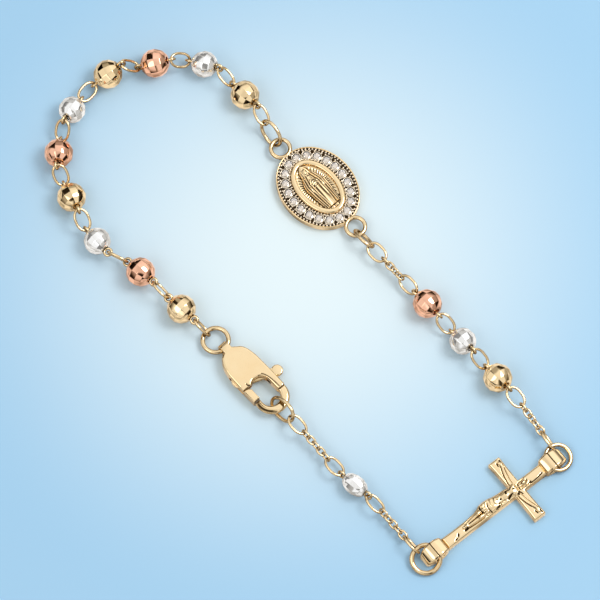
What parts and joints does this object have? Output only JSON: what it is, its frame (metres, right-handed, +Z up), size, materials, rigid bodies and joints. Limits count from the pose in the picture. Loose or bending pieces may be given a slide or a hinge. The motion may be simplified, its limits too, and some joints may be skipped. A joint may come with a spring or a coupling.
{
  "type": "bracelet",
  "caption": "Tri-tone rosary bracelet laid in a closed loop: faceted balls on eye pins, oval links, twisted chain, stone-set oval medal, sideways crucifix, lobster clasp",
  "frame": {"origin": "centre of the bounding box, on the surface that the bracelet lies on", "axes": "+Z up from the surface; +X to the right and +Y away from the viewer of the picture"},
  "size_m": [0.0704, 0.0731, 0.0039],
  "materials": {
    "yellow_gold": "polished",
    "rose_gold": "polished",
    "white_gold": "polished",
    "stones": "cut and polished"
  },
  "bodies": {
    "bracelet": {"ball_01": "yellow_gold", "ball_02": "rose_gold", "ball_03": "white_gold", "ball_04": "yellow_gold", "ball_05": "rose_gold", "ball_06": "white_gold", "ball_07": "yellow_gold", "ball_08": "rose_gold", "ball_09": "white_gold", "ball_10": "yellow_gold", "ball_11": "rose_gold", "ball_12": "white_gold", "ball_13": "yellow_gold", "ball_14": "white_gold", "eye_pin_01": "yellow_gold", "eye_pin_02": "yellow_gold", "eye_pin_03": "yellow_gold", "eye_pin_04": "yellow_gold", "eye_pin_05": "yellow_gold", "eye_pin_06": "yellow_gold", "eye_pin_07": "yellow_gold", "eye_pin_08": "yellow_gold", "eye_pin_09": "yellow_gold", "eye_pin_10": "yellow_gold", "eye_pin_11": "yellow_gold", "eye_pin_12": "yellow_gold", "eye_pin_13": "yellow_gold", "eye_pin_14": "yellow_gold", "link_01": "yellow_gold", "link_02": "yellow_gold", "link_03": "yellow_gold", "link_04": "yellow_gold", "link_05": "yellow_gold", "link_06": "yellow_gold", "link_07": "yellow_gold", "link_08": "yellow_gold", "link_09": "yellow_gold", "link_10": "yellow_gold", "link_11": "yellow_gold", "link_12": "yellow_gold", "link_13": "yellow_gold", "chain_medal": "yellow_gold", "chain_head": "yellow_gold", "chain_foot": "yellow_gold", "chain_clasp": "yellow_gold", "ring_clasp": "yellow_gold", "ring_medal_upper": "yellow_gold", "ring_medal_lower": "yellow_gold", "ring_cross_head": "yellow_gold", "ring_cross_foot": "yellow_gold", "ring_hook": "yellow_gold", "medal_frame": "yellow_gold", "medal_stones": "stones", "cross": "yellow_gold", "clasp_body": "yellow_gold"},
    "lever": {"clasp_lever": "yellow_gold"}
  },
  "joints": [
    {"name": "lever_pivot", "type": "hinge", "parent": "bracelet", "child": "lever", "pos_m": [-0.00907, -0.00976, 0.001], "axis": [0, 0, 1], "range_deg": [0, 25], "stiffness_Nm_per_rad": 0.002, "springref_deg": -17.19}
  ]
}
